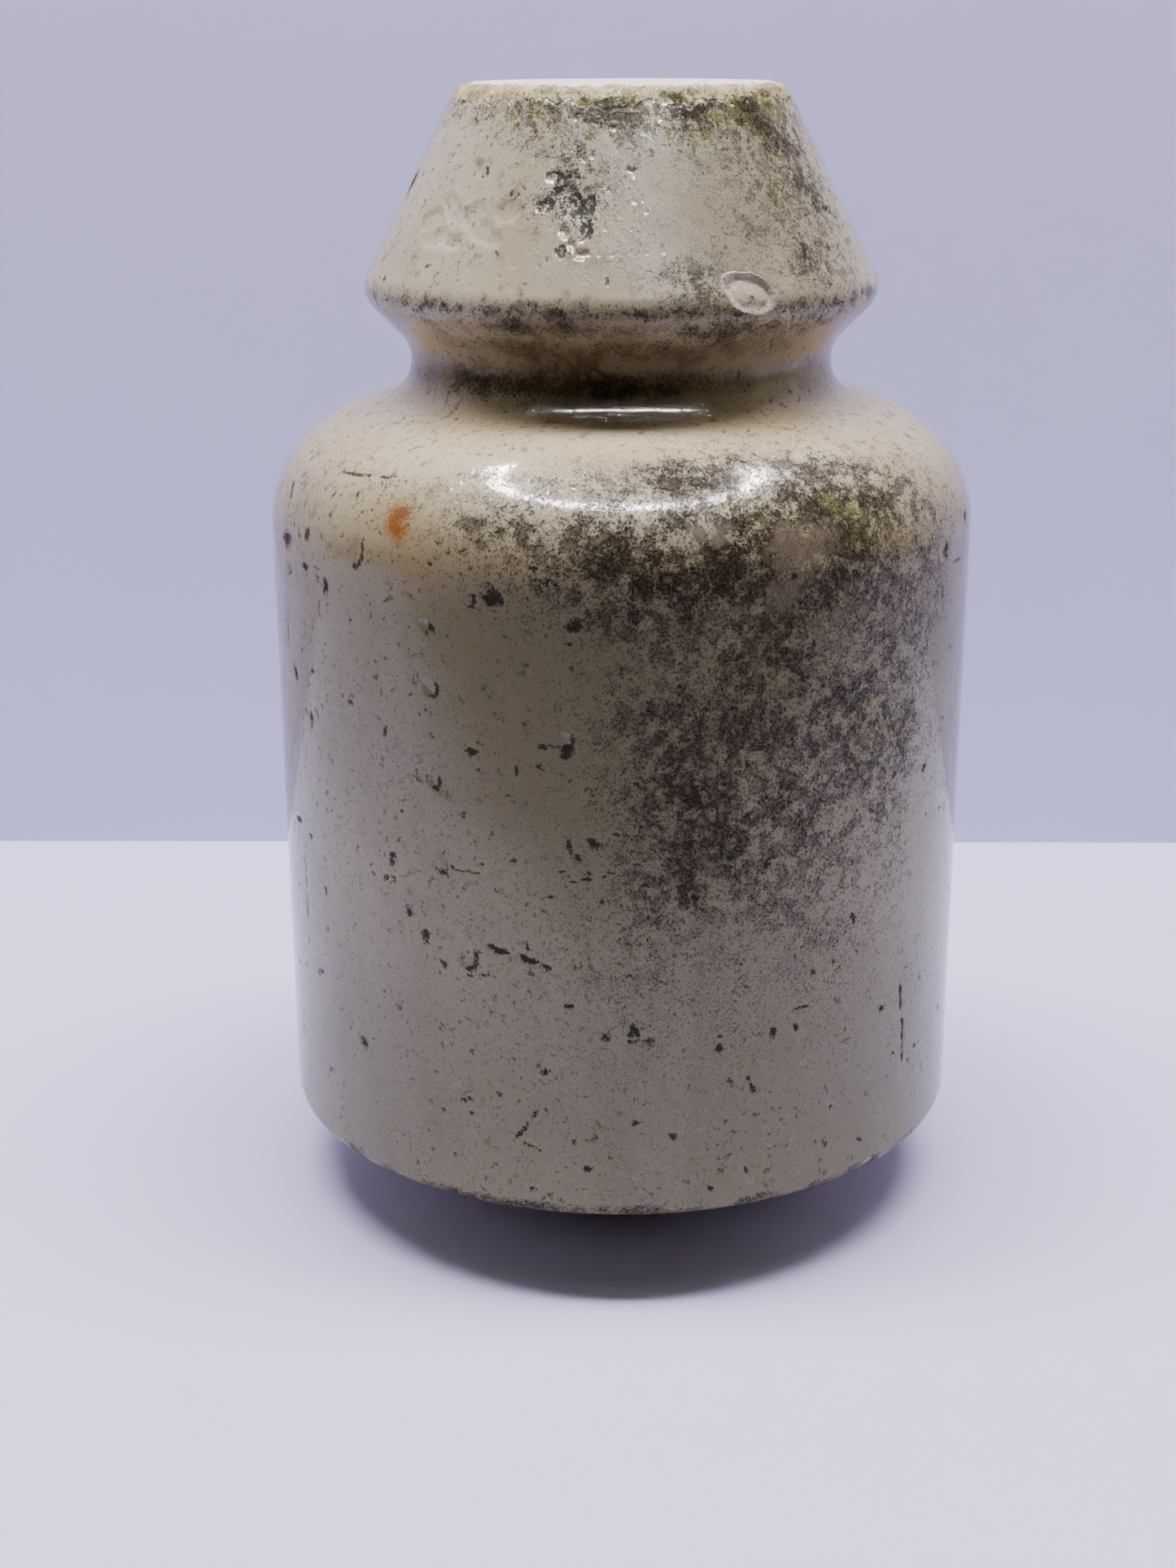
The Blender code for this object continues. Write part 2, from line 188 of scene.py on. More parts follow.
# The stage: the wall's place and the floor's front, in metres, and the papers' colours.
WALL_PLACE = 0.119
FLOOR_FRONT = (-0.095, -0.22)  # the paper goes dark between these, outside the picture
FLOOR_TONE = (0.78, 0.76, 0.99)
WALL_TONE = (0.585, 0.555, 0.76)
DARK_TONE = (0.05, 0.05, 0.06)
# Lamps and camera, in metres, watts and degrees, and the lens in millimetres.
RING_CENTRE = (0.012, -0.030, 0.600)
RING_RADIUS = 0.25
RING_LAMPS = 24
RING_LAMP_SIZE = (0.066, 0.046)
RING_POWER = 64.0
OVERHEAD_PLACE = (0.0, -0.035, 0.60)
OVERHEAD_SIZE = (0.60, 0.12)
OVERHEAD_POWER = 8.5
SIDE_PLACE = (0.30, 0.05, 0.25)
SIDE_TARGET = (0.0, 0.02, 0.12)
SIDE_SIZE = (0.30, 0.30)
SIDE_POWER = 0.21
ROOM_STRENGTH = 0.03
CAMERA_PLACE = (0.0, -0.275, 0.1401)
CAMERA_LENS = 52.0
CAMERA_SWING = 0.86  # to the left
CAMERA_PITCH = 18.11  # downwards
CAMERA_ROLL = -0.2


# ---------------------------------------------------------------- outlines and turned bodies


def corner_arc(before, corner, after, radius):
    """A fine arc of the given radius in place of one corner of an outline."""
    towards_before = (before - corner).normalized()
    towards_after = (after - corner).normalized()
    half_angle = towards_before.angle(towards_after) / 2.0
    start = corner + towards_before * (radius / math.tan(half_angle))
    bisector = (towards_before + towards_after).normalized()
    centre = corner + bisector * (radius / math.sin(half_angle))
    first = start - centre
    last = corner + towards_after * (radius / math.tan(half_angle)) - centre
    turn = first.angle_signed(last)
    count = 24
    return [centre + Matrix.Rotation(-turn * i / count, 2) @ first for i in range(count + 1)]


def rounded(corners, closed=False):
    """An outline with its corners filleted. A closed one ends where it starts."""
    places = [Vector((radius, height)) for radius, height, _ in corners]
    outline = []
    for i, (_, _, fillet) in enumerate(corners):
        at_end = i in (0, len(corners) - 1)
        if fillet == 0.0 or (at_end and not closed):
            outline.append(places[i])
        else:
            outline += corner_arc(places[i - 1], places[i], places[(i + 1) % len(places)], fillet)
    if closed:
        outline.append(outline[0])
    return np.array([tuple(p) for p in outline])


def lengths_along(outline):
    steps = np.hypot(*np.diff(outline, axis=0).T)
    return np.concatenate([[0.0], np.cumsum(steps)])


def evenly(outline, spacing):
    """The outline resampled so that its points are about spacing apart."""
    along = lengths_along(outline)
    count = max(2, round(along[-1] / spacing))
    places = np.linspace(0.0, along[-1], count + 1)
    return np.stack([np.interp(places, along, outline[:, k]) for k in (0, 1)], axis=1)


def outline_normals(outline):
    """Unit normals that point out of the solid, for an outline that runs down its outer side."""
    slope = np.gradient(outline, axis=0)
    slope /= np.maximum(np.hypot(slope[:, 0], slope[:, 1]), 1e-9)[:, None]
    return np.stack([-slope[:, 1], slope[:, 0]], axis=1)


def turned(name, outline, steps, relief=None, closed=False):
    """A closed body of revolution in millimetres, pushed along its normals by relief.

    An open outline starts and ends on the axis. relief has one row for each outline point and
    one column for each step.
    """
    angles = np.arange(steps) * 2.0 * math.pi / steps
    rings = outline[:-1] if closed else outline[1:-1]
    normals = outline_normals(outline)[:-1] if closed else outline_normals(outline)[1:-1]
    push = np.zeros((len(rings), steps))
    if relief is not None:
        push = relief[:-1] if closed else relief[1:-1]
    radius = rings[:, :1] + normals[:, :1] * push
    height = rings[:, 1:] + normals[:, 1:] * push
    grid = np.stack([radius * np.sin(angles), -radius * np.cos(angles), height], axis=2)
    points = grid.reshape(-1, 3)

    here = np.arange(steps)
    beyond = (here + 1) % steps
    rows = len(rings)
    pairs = [(i, (i + 1) % rows) for i in range(rows if closed else rows - 1)]
    quads = [
        np.stack([a * steps + here, b * steps + here, b * steps + beyond, a * steps + beyond], 1)
        for a, b in pairs
    ]
    quads = np.concatenate(quads)
    corners = quads.ravel()
    sizes = np.full(len(quads), 4)
    if not closed:
        top, bottom = len(points), len(points) + 1
        last = (rows - 1) * steps
        points = np.concatenate([points, [[0, 0, outline[0, 1]], [0, 0, outline[-1, 1]]]])
        cap = np.stack([np.full(steps, top), here, beyond], 1)
        floor = np.stack([np.full(steps, bottom), last + beyond, last + here], 1)
        corners = np.concatenate([corners, cap.ravel(), floor.ravel()])
        sizes = np.concatenate([sizes, np.full(2 * steps, 3)])
    mesh = bpy.data.meshes.new(name)
    mesh.vertices.add(len(points))
    mesh.vertices.foreach_set("co", (points * MM).ravel())
    mesh.loops.add(len(corners))
    mesh.loops.foreach_set("vertex_index", corners)
    mesh.polygons.add(len(sizes))
    mesh.polygons.foreach_set("loop_start", np.concatenate([[0], np.cumsum(sizes)[:-1]]))
    mesh.update(calc_edges=True)
    mesh.validate()
    mesh.shade_smooth()
    body = bpy.data.objects.new(name, mesh)
    bpy.context.scene.collection.objects.link(body)
    return body


# ---------------------------------------------------------------- fields over the outer skin


class Skin:
    """Distances in millimetres over a turned surface, and the stains and relief on it."""

    def __init__(self, outline, steps):
        self.angle = np.arange(steps)[None, :] * 360.0 / steps
        self.radius = outline[:, :1]
        self.height = outline[:, 1:]
        self.down = lengths_along(outline)[:, None]
        self.shape = (len(outline), steps)

    def along(self, height):
        """How far down the outline a height is. The crown's flat counts as its top."""
        return float(np.interp(-height, -self.height[:, 0], self.down[:, 0]))

    def offsets(self, angle, height):
        """Distances across and down from one place on the skin, for every point of it."""
        turn = (self.angle - angle + 180.0) % 360.0 - 180.0
        return np.radians(turn) * self.radius, self.down - self.along(height)

    def reach(self, angle, height, width, tall, tilt=0.0):
        """0 at a place, 1 on the edge of an ellipse round it, and more beyond."""
        across, down = self.offsets(angle, height)
        lean = math.radians(tilt)
        u = across * math.cos(lean) - down * math.sin(lean)
        v = across * math.sin(lean) + down * math.cos(lean)
        return np.hypot(u * 2.0 / width, v * 2.0 / tall)

    def line_distance(self, angle_a, height_a, angle_b, height_b):
        across_a, down_a = self.offsets(angle_a, height_a)
        across_b, down_b = self.offsets(angle_b, height_b)
        run = (across_a - across_b, down_a - down_b)
        share = (across_a * run[0] + down_a * run[1]) / (run[0] ** 2 + run[1] ** 2 + 1e-9)
        share = np.clip(share, 0.0, 1.0)
        return np.hypot(across_a - run[0] * share, down_a - run[1] * share)

    def cloud(self, size, seed):
        """Smooth noise from -1 to 1 with features of about size millimetres."""
        rng = np.random.default_rng(seed)
        typical_radius = 36.0
        columns = max(4, round(2.0 * math.pi * typical_radius / size))
        rows = int(self.down[-1, 0] / size) + 3
        knots = rng.uniform(-1.0, 1.0, (rows, columns))
        x = self.angle / 360.0 * columns
        y = self.down / size
        x0, y0 = np.floor(x).astype(int), np.floor(y).astype(int)
        fx, fy = x - x0, y - y0
        fx, fy = fx * fx * (3.0 - 2.0 * fx), fy * fy * (3.0 - 2.0 * fy)
        x0, x1 = x0 % columns, (x0 + 1) % columns
        upper = knots[y0, x0] * (1.0 - fx) + knots[y0, x1] * fx
        lower = knots[y0 + 1, x0] * (1.0 - fx) + knots[y0 + 1, x1] * fx
        return upper * (1.0 - fy) + lower * fy

    def patches(self, places, sharpness=2.6):
        """How much of the skin several soft elliptical patches cover between them."""
        clear = np.ones(self.shape)
        for angle, height, width, tall, strength in places:
            reach = self.reach(angle, height, width, tall)
            clear *= 1.0 - strength * 0.5 ** (reach**sharpness)
        return 1.0 - clear


def smooth_step(value, low, high):
    t = np.clip((value - low) / (high - low), 0.0, 1.0)
    return t * t * (3.0 - 2.0 * t)


def soft_edge(reach):
    """1 in the middle of a mark, one half on its edge and 0 outside."""
    return 0.5 ** (reach ** 2.0)


def bowl(reach):
    """A hollow of depth 1 with a steep side and a flat bottom."""
    return smooth_step(1.0 - reach, 0.0, 0.45)


def random_marks():
    """Pits, crescents and scratches for the back, and small specks for the front."""
    rng = np.random.default_rng(BACK_SEED)
    pits, crescents, scratches = [], [], []
    for _ in range(BACK_PITS):
        angle = rng.uniform(75.0, 285.0)
        height = rng.choice([rng.uniform(14.0, 94.0), rng.uniform(114.0, 133.0)], p=[0.85, 0.15])
        size = rng.uniform(0.5, 1.0) ** 2 * 2.2
        pits.append((angle, height, size, size * rng.uniform(0.5, 1.4), rng.uniform(-40, 40)))
    for _ in range(FRONT_SPECKS):
        pits.append((rng.uniform(-75, 75), rng.uniform(13, 88), 0.8, 0.6, rng.uniform(-60, 60)))
    for _ in range(BACK_CRESCENTS):
        width = rng.uniform(1.4, 2.6)
        crescents.append((rng.uniform(80, 280), rng.uniform(20, 88), width, width * 1.2))
    for _ in range(BACK_SCRATCHES):
        angle, height = rng.uniform(80, 280), rng.uniform(18, 88)
        end = (angle + rng.uniform(-7, 7), height + rng.uniform(-5, 5))
        scratches.append((angle, height, *end, rng.uniform(0.3, 0.7)))
    return pits, crescents, scratches


def back_patches():
    """Soot and moss on the side away from the front: one long patch and some lesser ones."""
    soot = [(150, 86, 36, 14, 0.5), (165, 68, 24, 34, 0.36), (228, 89, 26, 9, 0.3),
            (120, 60, 18, 40, 0.14), (250, 60, 16, 30, 0.08), (190, 128, 26, 12, 0.26),
            (140, 133.4, 30, 2.2, 0.45), (230, 133.4, 30, 2.0, 0.35), (200, 40, 40, 30, 0.08),
            (110, 126, 16, 14, 0.2), (180, 104, 60, 2.4, 0.4), (120, 111.0, 12, 2.4, 0.4),
            (215, 111.0, 14, 2.6, 0.4), (265, 104, 20, 2.0, 0.3)]
    moss = [(140, 91, 16, 7, 0.5), (172, 78, 16, 16, 0.3), (130, 130, 16, 8, 0.4),
            (210, 133.4, 20, 2.2, 0.4), (235, 90, 12, 6, 0.3)]
    return soot, moss


class Wear:
    """Relief in millimetres and eight stain strengths, one of them partly painted shade, filled in
    one kind of damage at a time.
    """

    def __init__(self, skin):
        self.skin = skin
        self.finest, self.fine = skin.cloud(0.7, 7), skin.cloud(1.1, 3)
        self.medium, self.coarse = skin.cloud(2.6, 4), skin.cloud(7.0, 5)
        self.broad = skin.cloud(24.0, 6)
        self.relief = -0.04 + 0.02 * self.broad + 0.005 * self.coarse
        self.mark = np.zeros(skin.shape)
        self.bare = np.zeros(skin.shape)
        self.ragged = 1.0 + 0.45 * self.fine + 0.35 * self.finest

    def pit(self, pits):
        for angle, height, width, tall, tilt in pits:
            reach = self.skin.reach(angle, height, width, tall, tilt) * self.ragged
            self.relief -= 0.09 * min(width, tall) * bowl(reach)
            spot = (0.82 + 0.3 * self.finest) * soft_edge(reach * 1.05)
            self.mark = np.maximum(self.mark, spot)

    def spall(self, crescents):
        """Shallow chips with dirt along one side of their edge."""
        for angle, height, width, tall in crescents:
            reach = self.skin.reach(angle, height, width, tall) * (1.0 + 0.12 * self.fine)
            self.relief -= 0.14 * bowl(reach)
            across, down = self.skin.offsets(angle, height)
            one_side = smooth_step((across + 0.5 * down) * 2.0 / width, -0.5, 0.7)
            arc = soft_edge((reach - 0.92) * width / 0.65) * one_side
            self.mark = np.maximum(self.mark, 0.75 * arc)

    def scratch(self, scratches):
        """Lines of beads of dirt."""
        beads = smooth_step(self.finest + 0.7 * self.fine, -0.6, 0.5)
        for angle_a, height_a, angle_b, height_b, width in scratches:
            distance = self.skin.line_distance(angle_a, height_a, angle_b, height_b)
            broken = distance / (width * (0.24 + 0.44 * beads))
            self.relief -= 0.05 * bowl(broken)
            self.mark = np.maximum(self.mark, (0.35 + 0.5 * beads) * soft_edge(broken * 1.3))

    def gouge_head(self):
        gouge = np.full(self.skin.shape, 9.0)
        for angle, height, width, tall in GOUGES:
            gouge = np.minimum(gouge, self.skin.reach(angle, height, width, tall) * self.ragged)
        self.relief -= 0.20 * bowl(gouge * 0.9) * (0.75 + 0.25 * self.medium)
        stained = np.abs(gouge - 0.75) / 0.55
        self.mark = np.maximum(self.mark, 0.85 * soft_edge(stained) * (0.8 + 0.3 * self.fine))
        for angle, height, width, tall, tilt in BLISTERS:
            reach = self.skin.reach(angle, height, width, tall, tilt)
            self.relief += 0.12 * smooth_step(1.5 - reach, 0.0, 0.5) - 0.36 * bowl(reach)

    def dent_head(self):
        dent = np.full(self.skin.shape, 9.0)
        for angle, height, width, tall, tilt in DENTS:
            dent = np.minimum(dent, self.skin.reach(angle, height, width, tall, tilt))
        dent = dent * (1.0 + 0.30 * self.medium + 0.16 * self.fine)
        self.relief -= 0.24 * smooth_step(1.15 - dent, 0.0, 0.5) * (0.85 + 0.25 * self.medium)

    def flake_ridge(self):
        """The oval chip, with a step inside its edge."""
        flake = self.skin.reach(*FLAKE) * (1.0 + 0.14 * self.medium + 0.05 * self.fine)
        self.relief -= 0.62 * smooth_step(1.0 - flake, 0.0, 0.35) * (0.8 + 0.12 * self.fine)
        self.bare = np.maximum(self.bare, 0.9 * smooth_step(1.06 - flake, 0.0, 0.14))
        terrace = np.abs(flake - 0.72)
        self.relief -= 0.10 * smooth_step(0.16 - terrace, 0.0, 0.16)

    def wear_crown(self):
        """The crown's worn ochre edge, its chips and the bare disc inside it."""
        skin = self.skin
        above = skin.height - CROWN_BAND + 0.55 * self.medium + 0.35 * self.fine + 0.3 * self.coarse
        crown_band = smooth_step(above, -0.35, 0.35) * smooth_step(skin.radius, 16.9, 18.0)
        grainy = smooth_step(self.fine + 0.6 * self.finest, -0.5, 0.9)
        self.relief -= crown_band * (0.16 + 0.24 * grainy)
        for angle, height, width, tall, depth in CROWN_CHIPS:
            chip = skin.reach(angle, height, width, tall) * (1.0 + 0.18 * self.fine)
            self.relief -= depth * bowl(chip * 0.95)
            crown_band = np.maximum(crown_band, 0.8 * smooth_step(1.05 - chip, 0.0, 0.2))
        inside = smooth_step(18.0 + 0.3 * self.medium - skin.radius, 0.0, 0.5)
        self.bare = np.maximum(self.bare, inside * (skin.height > 135.0))
        self.ochre = crown_band * (1.0 - 0.8 * smooth_step(17.3 - skin.radius, 0.0, 0.6))

    def wear_edges(self):
        """The ridge's dirty line with the zone under it, and the nibbled rim."""
        skin = self.skin
        ridge = skin.offsets(0.0, RIDGE_LINE)[1] + 0.35 * self.medium + 0.25 * self.fine
        self.ridge_line = soft_edge(np.abs(ridge) / (0.75 + 0.35 * self.coarse))
        self.under_ridge = smooth_step(111.9 - skin.height, 0.0, 1.2)
        self.under_ridge *= smooth_step(skin.height, 109.0, 111.0)
        self.relief -= 0.10 * self.ridge_line * smooth_step(self.fine + self.medium, 0.1, 1.0)

        rim = skin.height - RIM_DIRT - 0.5 * self.medium - 0.3 * self.coarse
        self.rim_line = smooth_step(-rim, -0.5, 0.3)
        nibbled = smooth_step(self.medium + 0.6 * self.coarse, 0.45, 1.0) * self.rim_line
        self.relief -= 0.35 * nibbled
        self.bare = np.maximum(self.bare, 0.5 * smooth_step(nibbled, 0.3, 0.7))

    def soot(self, back_soot):
        soot = self.skin.patches((*SOOT, *back_soot))
        soot *= 1.0 + 0.30 * self.medium + 0.22 * self.coarse
        soot = np.maximum(soot, 0.003 + 0.010 * self.coarse + 0.008 * self.broad)
        soot = np.maximum(soot, 0.42 * self.ridge_line * (1.0 + 0.15 * self.fine))
        soot = np.maximum(soot, self.under_ridge * (0.26 + 0.25 * self.coarse))
        soot = np.maximum(soot, self.rim_line * (0.55 + 0.4 * self.medium))
        round_crown = [(angle, 133.9, 12, 1.3, 0.22) for angle in range(0, 360, 30)]
        below_crown = self.skin.patches(round_crown) * (0.8 + 0.8 * self.coarse)
        soot = np.maximum(soot, below_crown)
        return soot * (1.0 - 0.8 * self.bare) * (1.0 - 0.6 * self.ochre)

    def grime_and_shade(self):
        low, high = GROOVE_RANGE
        height = self.skin.height
        # Painted shade: the whole groove band is darkened all round, over the dirt patches.
        groove = smooth_step(height, low, low + 1.6) * smooth_step(high - height, 0.0, 2.0)
        return 0.34 * groove + self.skin.patches(GRIME_AND_SHADE) * (1.0 + 0.2 * self.coarse)


def weather(skin):
    """The relief of the outer skin and its stains, in the order in which the glaze reads them."""
    pits, crescents, scratches = random_marks()
    back_soot, back_moss = back_patches()
    wear = Wear(skin)
    wear.pit((*DARK_PITS, *pits))
    wear.spall((*CRESCENTS, *crescents))
    wear.scratch((*SCRATCHES, *scratches))
    wear.gouge_head()
    wear.dent_head()
    wear.flake_ridge()
    wear.wear_crown()
    wear.wear_edges()
    soot = wear.soot(back_soot)
    moss = skin.patches((*MOSS, *back_moss)) * (1.0 + 0.3 * wear.coarse + 0.3 * wear.medium)
    tan = skin.patches(TAN, 3.0) * (1.0 + 0.25 * wear.medium)
    rust = skin.patches(RUST, 2.0) * (1.0 + 0.35 * wear.fine)
    stains = (soot, moss, wear.mark, rust, wear.bare, wear.ochre, wear.grime_and_shade(), tan)
    return np.minimum(wear.relief, 0.0), [np.clip(stain, 0.0, 1.0) for stain in stains]


# ---------------------------------------------------------------- materials


class Shade:
    """One material's node tree, built a value at a time."""

    def __init__(self, name):
        self.material = bpy.data.materials.new(name)
        self.material.use_nodes = True
        self.nodes = self.material.node_tree.nodes
        self.links = self.material.node_tree.links
        self.shader = self.nodes["Principled BSDF"]
        self.place = self.nodes.new("ShaderNodeTexCoord").outputs["Object"]
        split = self.nodes.new("ShaderNodeSeparateXYZ")
        self.links.new(self.place, split.inputs["Vector"])
        self.height = split.outputs["Z"]

    def put(self, value, socket):
        if isinstance(value, bpy.types.NodeSocket):
            self.links.new(value, socket)
        elif isinstance(value, tuple):
            socket.default_value = (*value, 1.0)
        else:
            socket.default_value = value

    def noise(self, scale, detail, roughness, stretch=None):
        node = self.nodes.new("ShaderNodeTexNoise")
        node.inputs["Scale"].default_value = scale
        node.inputs["Detail"].default_value = detail
        node.inputs["Roughness"].default_value = roughness
        place = self.place
        if stretch:
            mapping = self.nodes.new("ShaderNodeMapping")
            mapping.inputs["Scale"].default_value = stretch
            self.links.new(place, mapping.inputs["Vector"])
            place = mapping.outputs["Vector"]
        self.links.new(place, node.inputs["Vector"])
        return node.outputs["Fac"]

    def cells(self, scale):
        node = self.nodes.new("ShaderNodeTexVoronoi")
        node.inputs["Scale"].default_value = scale
        self.links.new(self.place, node.inputs["Vector"])
        return node.outputs["Distance"]

    def math(self, operation, a, b=0.0, clamp=False):
        node = self.nodes.new("ShaderNodeMath")
        node.operation = operation
        node.use_clamp = clamp
        self.put(a, node.inputs[0])
        self.put(b, node.inputs[1])
        return node.outputs[0]

    def ramp(self, value, low, high, start=0.0, end=1.0):
        node = self.nodes.new("ShaderNodeMapRange")
        node.interpolation_type = "SMOOTHSTEP"
        self.put(value, node.inputs["Value"])
        self.put(low, node.inputs["From Min"])
        self.put(high, node.inputs["From Max"])
        self.put(start, node.inputs["To Min"])
        self.put(end, node.inputs["To Max"])
        return node.outputs["Result"]

    def mix(self, share, a, b):
        node = self.nodes.new("ShaderNodeMix")
        node.data_type = "RGBA"
        self.put(share, node.inputs["Factor"])
        self.put(a, node.inputs["A"])
        self.put(b, node.inputs["B"])
        return node.outputs["Result"]

    def stains(self, name):
        """The four stain strengths that one colour attribute holds."""
        node = self.nodes.new("ShaderNodeAttribute")
        node.attribute_name = name
        split = self.nodes.new("ShaderNodeSeparateColor")
        self.links.new(node.outputs["Color"], split.inputs["Color"])
        return (*[split.outputs[k] for k in range(3)], node.outputs["Alpha"])

    def bump(self, height, distance, strength=1.0, under=None):
        node = self.nodes.new("ShaderNodeBump")
        node.inputs["Strength"].default_value = strength
        node.inputs["Distance"].default_value = distance
        self.put(height, node.inputs["Height"])
        if under is not None:
            self.links.new(under, node.inputs["Normal"])
        return node.outputs["Normal"]

    def finish(self, colour, roughness, normal=None, metallic=0.0, specular=0.5):
        self.put(colour, self.shader.inputs["Base Color"])
        self.put(roughness, self.shader.inputs["Roughness"])
        self.put(metallic, self.shader.inputs["Metallic"])
        self.put(specular, self.shader.inputs["Specular IOR Level"])
        if normal is not None:
            self.put(normal, self.shader.inputs["Normal"])
        return self.material


class Glaze(Shade):
    """Cream-white glaze with soot, moss, rust, worn edges and bare chips where the skin says, and
    painted shade down the body.
    """

    def __init__(self):
        super().__init__("weathered_glaze")
        self.soot, self.moss, self.mark, self.rust = self.stains("stains_a")
        self.bare, self.ochre, self.grime_and_shade, self.tan = self.stains("stains_b")
        self.grain = self.noise(2900.0, 4.0, 0.68)
        self.dust = self.noise(4200.0, 2.0, 0.6)
        self.clump = self.noise(620.0, 2.0, 0.5)
        self.blotch = self.noise(260.0, 3.0, 0.6)

    def glaze_with_painted_shade(self):
        """The glaze's colour, with painted shade: darker and yellower down the body and darker still
        towards the rim, cream on the shoulder and head.
        """
        tone = self.ramp(self.noise(28.0, 3.0, 0.5), 0.42, 0.58)
        # Painted shade: the body's tones are darker, yellower copies of the cream, and darker again
        # near the rim.
        body = self.mix(tone, (0.272, 0.229, 0.120), (0.231, 0.194, 0.099))
        shaded_low_body = self.mix(tone, (0.188, 0.160, 0.070), (0.163, 0.139, 0.058))
        shoulder = self.mix(tone, (0.66, 0.52, 0.295), (0.59, 0.455, 0.245))
        head = self.mix(tone, (0.575, 0.48, 0.295), (0.51, 0.415, 0.24))
        body = self.mix(self.ramp(self.height, 0.052, 0.020), body, shaded_low_body)
        colour = self.mix(self.ramp(self.height, 0.080, 0.100), body, shoulder)
        colour = self.mix(self.ramp(self.height, 0.0975, 0.106), colour, head)
        runs = self.ramp(self.noise(90.0, 2.0, 0.5, stretch=(1.0, 1.0, 0.12)), 0.52, 0.66)
        on_head = self.ramp(self.height, 0.104, 0.118, 0.03, 0.3)
        return self.mix(self.math("MULTIPLY", runs, on_head), colour, (0.66, 0.57, 0.42))

    def with_film_shade_and_rust(self, colour):
        thick = self.ramp(self.blotch, 0.4, 0.6, 0.85, 1.05)
        # The film is brown dirt, and painted shade in the wire groove and the neck under the head.
        self.film_and_shade = self.math("MULTIPLY", self.grime_and_shade, thick, clamp=True)
        colour = self.mix(self.film_and_shade, colour, (0.105, 0.072, 0.034))
        grainy = self.ramp(self.grain, 0.42, 0.58, 0.75, 1.3)
        rusty = self.math("MULTIPLY", self.rust, grainy, clamp=True)
        rust_tone = self.mix(
            self.ramp(self.rust, 0.3, 0.75), (0.42, 0.25, 0.09), (0.36, 0.13, 0.010)
        )
        colour = self.mix(rusty, colour, rust_tone)
        core = self.ramp(self.rust, 0.68, 0.95, 0.0, 0.6)
        return self.mix(core, colour, (0.25, 0.062, 0.005))

    def with_bare_places(self, colour):
        """The ochre crown edge, the peach body in the chips and the white crown disc."""
        edge = self.math("ADD", self.ochre, self.math("MULTIPLY", self.grain, 0.5))
        self.worn = self.ramp(edge, 0.55, 0.85)
        ochre_tone = self.mix(
            self.ramp(self.blotch, 0.35, 0.65), (0.38, 0.27, 0.075), (0.68, 0.53, 0.22)
        )
        colour = self.mix(self.worn, colour, ochre_tone)
        self.broken = self.ramp(self.bare, 0.35, 0.65)
        clouded = self.ramp(self.blotch, 0.4, 0.6)
        white_top = self.mix(clouded, (1.0, 0.88, 0.70), (0.95, 0.82, 0.63))
        peach = self.mix(clouded, (0.60, 0.47, 0.31), (0.48, 0.36, 0.22))
        body_tone = self.mix(self.ramp(self.height, 0.1345, 0.1355), peach, white_top)
        return self.mix(self.broken, colour, body_tone)

    def with_moss(self, colour):
        cut = self.math("SUBTRACT", 0.580, self.math("MULTIPLY", self.moss, 0.19))
        full = self.math("ADD", cut, 0.06)
        self.mossy = self.ramp(self.noise(1100.0, 5.0, 0.7), cut, full)
        moss_tone = self.mix(
            self.ramp(self.blotch, 0.45, 0.55), (0.150, 0.155, 0.035), (0.055, 0.060, 0.018)
        )
        return self.mix(self.math("MULTIPLY", self.mossy, 0.85), colour, moss_tone)

    def with_soot(self, colour):
        """Grains of two sizes, over a brown haze where there are many."""
        broad_part = self.ramp(self.blotch, 0.40, 0.60, 0.70, 1.25)
        small_part = self.ramp(self.clump, 0.38, 0.62, 0.55, 1.4)
        uneven = self.math("MULTIPLY", broad_part, small_part)
        patchy = self.math("MULTIPLY", self.soot, uneven)
        # The more soot the skin says, the lower the noise level from which a grain is dark.
        cut = self.math("MULTIPLY", self.math("POWER", patchy, 0.58), 0.205)
        cut = self.math("SUBTRACT", 0.612, cut)
        full = self.math("ADD", cut, 0.055)
        grains = self.ramp(self.grain, cut, full, 0.0, 0.54)
        powder = self.ramp(self.noise(4800.0, 2.0, 0.6), cut, full, 0.0, 0.46)
        self.sooty = self.math("ADD", grains, powder)
        haze = self.ramp(patchy, 0.12, 0.8, 0.0, 0.72)
        colour = self.mix(haze, colour, (0.105, 0.083, 0.055))
        soot_tone = self.mix(
            self.ramp(self.dust, 0.42, 0.58), (0.018, 0.0125, 0.006), (0.048, 0.036, 0.019)
        )
        return self.mix(self.math("MULTIPLY", self.sooty, 0.96), colour, soot_tone)

    def with_smudges_and_marks(self, colour):
        lumpy = self.math("MULTIPLY", self.math("SUBTRACT", self.clump, 0.5), 2.5)
        smudge = self.ramp(self.math("ADD", self.tan, lumpy), 0.15, 0.75, 0.0, 0.85)
        tan_tone = self.mix(
            self.ramp(self.dust, 0.42, 0.58), (0.24, 0.185, 0.110), (0.14, 0.110, 0.066)
        )
        colour = self.mix(smudge, colour, tan_tone)
        ragged = self.math("MULTIPLY", self.math("SUBTRACT", self.grain, 0.5), 1.5)
        self.dark_spot = self.ramp(self.math("ADD", self.mark, ragged), 0.33, 0.58, 0.0, 0.90)
        return self.mix(self.dark_spot, colour, (0.024, 0.021, 0.016))

    def roughness(self, dirt):
        rough = self.ramp(self.noise(600.0, 3.0, 0.6), 0.4, 0.6, 0.025, 0.060)
        for layer, extra in ((dirt, 0.05), (self.film_and_shade, 0.10), (self.dark_spot, 0.4)):
            rough = self.math("ADD", rough, self.math("MULTIPLY", layer, extra))
        for layer, least in ((self.broken, 0.5), (self.worn, 0.24)):
            rough = self.math("MAXIMUM", rough, self.math("MULTIPLY", layer, least))
        return rough

